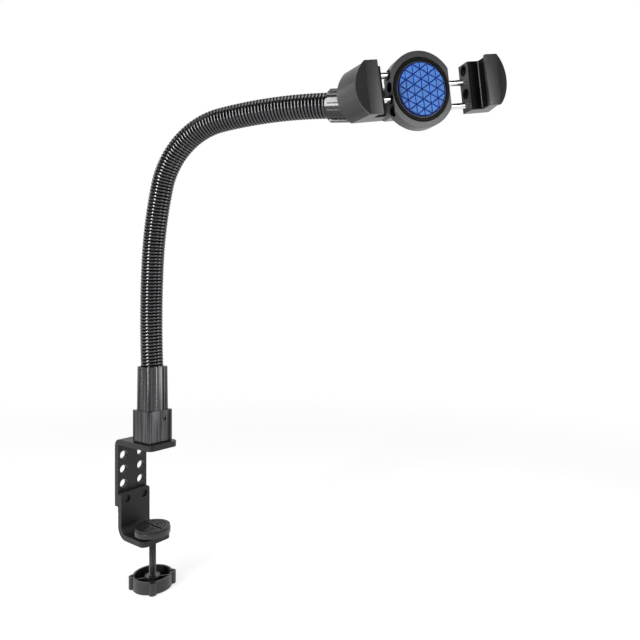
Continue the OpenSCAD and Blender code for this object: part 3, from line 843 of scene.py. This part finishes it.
@dataclass
class HolderBody(SubAssembly):
    """The round body: block, shells, bushes and the ring round the pad."""

    block_edge: Rounding = Rounding(0.8, 3)
    back_edge: Rounding = Rounding(0.9, 3)
    front_edge: Rounding = Rounding(0.45, 3)
    bezel_edge: Rounding = Rounding(0.3)
    bush_edge: Rounding = Rounding(0.2)

    def build(self) -> None:
        """Builds the body's pieces."""
        self.dress("mounting_block", Body.HOLDER, Slot.JOINT, self.block_edge)
        self.dress("back_shell", Body.HOLDER, Slot.SHELL, self.back_edge)
        self.dress("front_shell", Body.HOLDER, Slot.SHELL, self.front_edge)
        self.dress("pad_bezel", Body.HOLDER, Slot.JOINT, self.bezel_edge, BEZEL)
        self.dress("rod_bushes", Body.HOLDER, Slot.RUBBER, self.bush_edge)
        self.keep(("block_screws", "shell_screws"), Slot.SCREW)


def holder_place() -> Matrix:
    """Works out the holder's own frame from its joints.

    Returns:
        The frame: X along the rods, Y up the pad, Z out of its face, origin at the pad's middle.
    """
    across = Vector(joint("right_slide")["axis"]).normalized()
    out = Vector(joint("holder_roll")["axis"]).normalized()
    up = out.cross(across).normalized()
    ball = Vector(joint("holder_roll")["pos_m"])
    place = Matrix((across, up, out)).transposed().to_4x4()
    place.translation = ball + out * FACE_REACH * MM - up * FACE_DROP * MM
    return place


def local_box(node: str) -> tuple[Vector, Vector]:
    """Measures a node along the holder's own axes.

    Args:
        node: the node's name.

    Returns:
        Its lowest and its highest corner in the holder's frame.
    """
    back = holder_place().inverted()
    points = [back @ v.co for v in frame["nodes"][node].data.vertices]
    low = Vector(min(p[i] for p in points) for i in range(3))
    high = Vector(max(p[i] for p in points) for i in range(3))
    return low, high


@dataclass
class GripPad(SubAssembly):
    """The rubber disc with its raised triangles. Sizes are in millimetres."""

    radius: float = 17.1
    field_r: float = 16.3
    round_faces: int = 96
    base_h: float = 0.9
    rise: float = 1.6  # how far the disc's underside lies behind the face's origin
    inset_share: float = 0.45  # width of the rim's inset over the rim's own width
    upwards: float = 0.9  # least Z of the normal of a face that counts as the disc's top
    disc_edge: Rounding = Rounding(0.2)
    side: float = 6.3
    groove: float = 0.5
    slope: float = 0.55  # how much a triangle's top draws in from its foot, at the corners
    height: float = 0.75
    sink: float = 0.15  # how far a triangle's foot reaches into the disc
    trim_depth: float = 20.0
    facet_angle: float = 20.0

    def build(self) -> None:
        """Builds the disc and its triangles in the holder's frame and sets them in place."""
        place = holder_place()
        bpy.ops.mesh.primitive_cylinder_add(
            vertices=self.round_faces, radius=self.radius * MM, depth=self.base_h * MM,
            location=(0, 0, (self.base_h / 2 - self.rise) * MM),
        )
        disc = newest("grip_disc")
        settle(disc)
        with editing(disc) as mesh:
            bpy.ops.object.mode_set(mode="OBJECT")
            for face in mesh.polygons:
                face.select = face.normal.z > self.upwards
            bpy.ops.object.mode_set(mode="EDIT")
            bpy.ops.mesh.select_mode(type="FACE")
            bpy.ops.mesh.inset(thickness=(self.radius - self.field_r) * self.inset_share * MM)
            bpy.ops.mesh.select_mode(type="VERT")
        soften(disc, self.disc_edge)
        settle(disc, place)
        # The disc takes the darker blue, which is painted shade for the grooves between the triangles.
        self.hand_over(disc, Body.HOLDER, Slot.BLUE, ("grip_pad",))
        cells = self.triangles()
        settle(cells, place)
        self.hand_over(cells, Body.HOLDER, Slot.BLUE, finish=LIGHT_BLUE)

    def triangles(self) -> bpy.types.Object:
        """Repeats a bevelled pair of triangles over the lattice and trims the field to a circle.

        Returns:
            The field of triangles in the holder's frame.
        """
        step = self.side * math.sqrt(3) / 2
        count = 2 * int(self.radius / step) + 3
        pair = self.cell(step / 3, self.side / 2, 0.0)
        other = self.cell(2 * step / 3, 0.0, math.pi)
        wake(pair)
        other.select_set(True)
        bpy.ops.object.join()
        lattice = newest("grip_triangles")
        settle(lattice)
        self.repeat(lattice, (0.0, self.side), count)
        self.repeat(lattice, (step, self.side / 2), count)
        across = (count // 2) * step
        up = (count // 2) * self.side * 1.5  # a side for each row and half a side for each column
        settle(lattice, Matrix.Translation((-across * MM, -up * MM, 0)))
        bpy.ops.mesh.primitive_cylinder_add(
            vertices=self.round_faces, radius=self.field_r * MM, depth=self.trim_depth * MM,
        )
        cutter = newest("trim")
        apply_modifier(lattice, "BOOLEAN", operation="INTERSECT", object=cutter, solver="EXACT")
        bpy.data.objects.remove(cutter)
        smooth(lattice, self.facet_angle)
        return lattice

    def repeat(self, piece: bpy.types.Object, step: tuple[float, float], count: int) -> None:
        """Repeats a piece in a straight row.

        Args:
            piece: the piece.
            step: the row's step across and up the pad, in millimetres.
            count: how many there are.
        """
        apply_modifier(
            piece, "ARRAY", count=count, use_relative_offset=False, use_constant_offset=True,
            constant_offset_displace=(step[0] * MM, step[1] * MM, 0.0),
        )

    def cell(self, x: float, y: float, turn: float) -> bpy.types.Object:
        """Adds one bevelled triangle of the lattice.

        Args:
            x: its centre across the pad, in millimetres.
            y: its centre up the pad.
            turn: which way it points, in radians.

        Returns:
            The triangle.
        """
        reach = self.side / math.sqrt(3) - self.groove
        low = self.base_h - self.rise - self.sink
        bpy.ops.mesh.primitive_cone_add(
            vertices=3, radius1=reach * MM, radius2=(reach - self.slope) * MM, depth=self.height * MM,
            location=(x * MM, y * MM, (low + self.height / 2) * MM), rotation=(0, 0, turn - math.pi / 2),
        )
        return bpy.context.object


@dataclass
class Arm(SubAssembly):
    """One jaw with its lip, liner and rods. Sizes are in millimetres."""

    side: Side = Side.LEFT
    jaw_edge: Rounding = Rounding(0.9, 3)
    lip_edge: Rounding = Rounding(0.5, 3)
    liner_edge: Rounding = Rounding(0.3)
    rod_edge: Rounding = Rounding(0.35)
    bead_edge: Rounding = Rounding(0.2)
    bead_r: float = 0.45
    bead_in: float = 1.35  # from the liner's outer side
    bead_up: float = 1.35  # from the liner's underside
    bead_faces: int = 16

    def build(self) -> None:
        """Builds the arm's pieces."""
        side = self.side.value
        body = Body(f"{side}_arm")
        self.dress(f"{side}_jaw", body, Slot.SHELL, self.jaw_edge)
        self.dress(f"{side}_lip", body, Slot.SHELL, self.lip_edge)
        self.dress(f"{side}_liner", body, Slot.RUBBER, self.liner_edge)
        self.dress(f"{side}_rods", body, Slot.CHROME, self.rod_edge)
        self.bead(body)

    def bead(self, body: Body) -> None:
        """Lays the thin ridge in the corner of the rubber, between the ledge and the wall.

        Args:
            body: the arm that it rides on.
        """
        side = self.side.value
        low, high = local_box(f"{side}_liner")
        corner, inwards = (high.x, -1.0) if self.side is Side.RIGHT else (low.x, 1.0)
        bpy.ops.mesh.primitive_cylinder_add(
            vertices=self.bead_faces, radius=self.bead_r * MM,
            depth=(high.y - low.y) - 2 * self.bead_r * MM, rotation=(math.pi / 2, 0, 0),
            location=(corner + inwards * self.bead_in * MM, (low.y + high.y) / 2, low.z + self.bead_up * MM),
        )
        ridge = newest(f"{side}_rubber_ridge_painted_highlight")
        settle(ridge)
        soften(ridge, self.bead_edge)
        settle(ridge, holder_place())
        # The ridge is coloured a far lighter grey than the rubber, as a painted highlight along the fold.
        self.hand_over(ridge, body, Slot.RUBBER, finish=RIDGE_HIGHLIGHT_RUBBER)


@dataclass(frozen=True)
class Softbox:
    """A rectangular lamp: its place, its target and its size in metres, and its power in watts."""

    name: str
    spot: Triple
    target: Triple
    width: float
    height: float
    power: float

    def hang(self) -> None:
        """Adds the lamp to the scene, unseen by the camera."""
        light = bpy.data.lights.new(self.name, "AREA")
        light.shape = "RECTANGLE"
        light.size = self.width
        light.size_y = self.height
        light.energy = self.power
        lamp = bpy.data.objects.new(self.name, light)
        lamp.location = self.spot
        lamp.rotation_euler = (Vector(self.target) - Vector(self.spot)).to_track_quat("-Z", "Y").to_euler()
        lamp.visible_camera = False
        bpy.context.scene.collection.objects.link(lamp)


@dataclass
class Studio:
    """Floor, light and camera. Places are in metres and angles in degrees."""

    eye: Triple = (0.3831, -0.2819, 0.115)
    heading: float = 36.03
    lens: float = 29.65
    sensor: float = 36.0
    nearest: float = 0.01
    horizon_rise: float = -7.44  # the picture's shift, in pixels of a picture as wide as image_side
    image_side: int = 640
    floor_z: float = -0.1205
    floor_side: float = 24.0
    floor_cells: int = 8
    floor_matt: float = 0.9
    shadow_reach: tuple[float, float] = (0.3, 1.1)  # where the floor begins to fade and where it ends
    floor_colour: tuple[float, float] = (0.4, 0.0)  # near the object and far from it
    floor_glow: tuple[float, float] = (0.72, 1.0)  # near the object and far from it
    fill: float = 0.28  # the world's light on matt surfaces
    room: float = 0.05  # the world's light in reflections, on the camera's side
    backdrop_edge: tuple[float, float] = (-0.25, 0.35)  # forward share of a direction, from dim to white
    lamps: tuple[Softbox, ...] = (
        Softbox("key_softbox", (0.05, -0.9, 0.4), (0.08, 0.0, 0.14), 0.2, 0.95, 10.5),
        Softbox("right_softbox", (0.48, 0.355, 0.15), (0.0, 0.0, 0.06), 0.12, 0.44, 0.8),
        Softbox("face_softbox", (1.145, -0.11, 0.37), (0.2, 0.0, 0.26), 0.42, 0.2, 2.1),
        Softbox("rim_softbox", (-0.8, -0.2, 0.4), (0.05, 0.0, 0.12), 0.12, 0.6, 0.7),
        Softbox("top_softbox", (0.2, -0.1, 1.05), (0.12, 0.0, 0.1), 0.5, 0.35, 2.4),
    )

    def build(self) -> None:
        """Sets up the camera, the floor, the world and the lamps."""
        scene = bpy.context.scene
        scene.view_settings.view_transform = "Standard"
        self.camera(scene)
        self.floor()
        self.world(scene)
        for lamp in self.lamps:
            lamp.hang()

    def camera(self, scene: bpy.types.Scene) -> None:
        """Places the level camera of the photograph.

        Args:
            scene: the scene that it looks at.
        """
        camera = bpy.data.cameras.new("camera")
        camera.lens = self.lens
        camera.sensor_width = self.sensor
        camera.shift_y = self.horizon_rise / self.image_side
        camera.clip_start = self.nearest
        camera.dof.use_dof = False
        eye = bpy.data.objects.new("camera", camera)
        eye.location = self.eye
        eye.rotation_euler = (math.pi / 2, 0, math.radians(self.heading))
        scene.collection.objects.link(eye)
        scene.camera = eye

    def seen_rays(self, tree: bpy.types.NodeTree) -> bpy.types.NodeSocket:
        """Tells the rays that see the white surround, so that metal shows it too.

        Args:
            tree: the tree it goes in.

        Returns:
            1 for camera, glossy and transmission rays, and 0 for the others.
        """
        rays = add_node(tree, "LightPath")
        total = rays.outputs["Is Camera Ray"]
        for name in ("Is Glossy Ray", "Is Transmission Ray"):
            either = add_node(tree, "Math", operation="MAXIMUM")
            tree.links.new(total, either.inputs[0])
            tree.links.new(rays.outputs[name], either.inputs[1])
            total = either.outputs["Value"]
        return total

    def by_distance(self, tree: bpy.types.NodeTree, ends: tuple[float, float]) -> bpy.types.NodeSocket:
        """Gives a value that runs from near the object's foot to the floor's far parts.

        Args:
            tree: the floor's node tree.
            ends: the values where the shadow's reach begins and where it ends.

        Returns:
            The value.
        """
        source = add_node(tree, "TexCoord")
        reach = add_node(tree, "VectorMath", operation="LENGTH")
        tree.links.new(source.outputs["Object"], reach.inputs[0])
        return mapped(tree, reach.outputs["Value"], self.shadow_reach, ends, "SMOOTHSTEP")

    def floor(self) -> None:
        """Lays a wide pale floor that keeps the object's shadow and fades to white."""
        bpy.ops.mesh.primitive_grid_add(
            x_subdivisions=self.floor_cells, y_subdivisions=self.floor_cells, size=self.floor_side,
            location=(0, 0, self.floor_z),
        )
        floor = newest("floor")
        material = bpy.data.materials.new("pale_floor")
        material.use_nodes = True
        tree = material.node_tree
        shader = tree.nodes["Principled BSDF"]
        shader.inputs["Roughness"].default_value = self.floor_matt
        shader.inputs["Specular IOR Level"].default_value = 0.0
        tree.links.new(self.by_distance(tree, self.floor_colour), shader.inputs["Base Color"])
        strength = add_node(tree, "Math", operation="MULTIPLY")
        tree.links.new(self.seen_rays(tree), strength.inputs[0])
        tree.links.new(self.by_distance(tree, self.floor_glow), strength.inputs[1])
        glow = add_node(tree, "Emission")
        tree.links.new(strength.outputs["Value"], glow.inputs["Strength"])
        both = add_node(tree, "AddShader")
        tree.links.new(shader.outputs["BSDF"], both.inputs[0])
        tree.links.new(glow.outputs["Emission"], both.inputs[1])
        tree.links.new(both.outputs["Shader"], tree.nodes["Material Output"].inputs["Surface"])
        floor.data.materials.append(material)

    def world(self, scene: bpy.types.Scene) -> None:
        """Makes a world that looks white, shows metal its white backdrop, and lights the object gently.

        Args:
            scene: the scene that gets it.
        """
        world = bpy.data.worlds.new("studio")
        scene.world = world
        world.use_nodes = True
        tree = world.node_tree
        tree.nodes.clear()
        soft = add_node(tree, "Background", {"Color": (self.fill, self.fill, self.fill, 1.0)})
        mirrored = add_node(tree, "Background")
        tree.links.new(self.backdrop(tree), mirrored.inputs["Strength"])
        white = add_node(tree, "Background", {"Color": (1.0, 1.0, 1.0, 1.0)})
        rays = add_node(tree, "LightPath")
        lit = self.either(tree, self.seen_rays(tree), soft, mirrored)
        seen = self.either(tree, rays.outputs["Is Camera Ray"], lit, white)
        out = add_node(tree, "OutputWorld")
        tree.links.new(seen.outputs["Shader"], out.inputs["Surface"])

    def either(
        self, tree: bpy.types.NodeTree, choice: bpy.types.NodeSocket, first: bpy.types.Node,
        second: bpy.types.Node,
    ) -> bpy.types.Node:
        """Mixes two shaders.

        Args:
            tree: the tree they are in.
            choice: 0 for the first and 1 for the second.
            first: a shader's node.
            second: the other shader's node.

        Returns:
            The mix's node.
        """
        mix = add_node(tree, "MixShader")
        for number, socket in enumerate((choice, first.outputs[0], second.outputs[0])):
            tree.links.new(socket, mix.inputs[number])
        return mix

    def backdrop(self, tree: bpy.types.NodeTree) -> bpy.types.NodeSocket:
        """Makes the surround that a reflection shows: white behind the object, dim on the camera's side.

        Args:
            tree: the world's node tree.

        Returns:
            The surround's strength.
        """
        turn = math.radians(self.heading)
        ahead = (-math.sin(turn), math.cos(turn), 0.0)
        source = add_node(tree, "TexCoord")
        facing = add_node(tree, "VectorMath", {1: ahead}, operation="DOT_PRODUCT")
        tree.links.new(source.outputs["Generated"], facing.inputs[0])
        return mapped(tree, facing.outputs["Value"], self.backdrop_edge, (self.room, 1.0), "SMOOTHSTEP")


def main() -> None:
    """Builds the groups in order."""
    logging.basicConfig(level=logging.INFO, format="%(name)s: %(message)s")
    Studio().build()
    groups: list[SubAssembly] = [
        TableClamp(), ClampScrew(), Post(), Gooseneck(), BallJoint(), HolderBody(), GripPad(),
        Arm(side=Side.LEFT), Arm(side=Side.RIGHT),
    ]
    for group in groups:
        group.build()
        group.report()


if __name__ == "__main__":
    main()
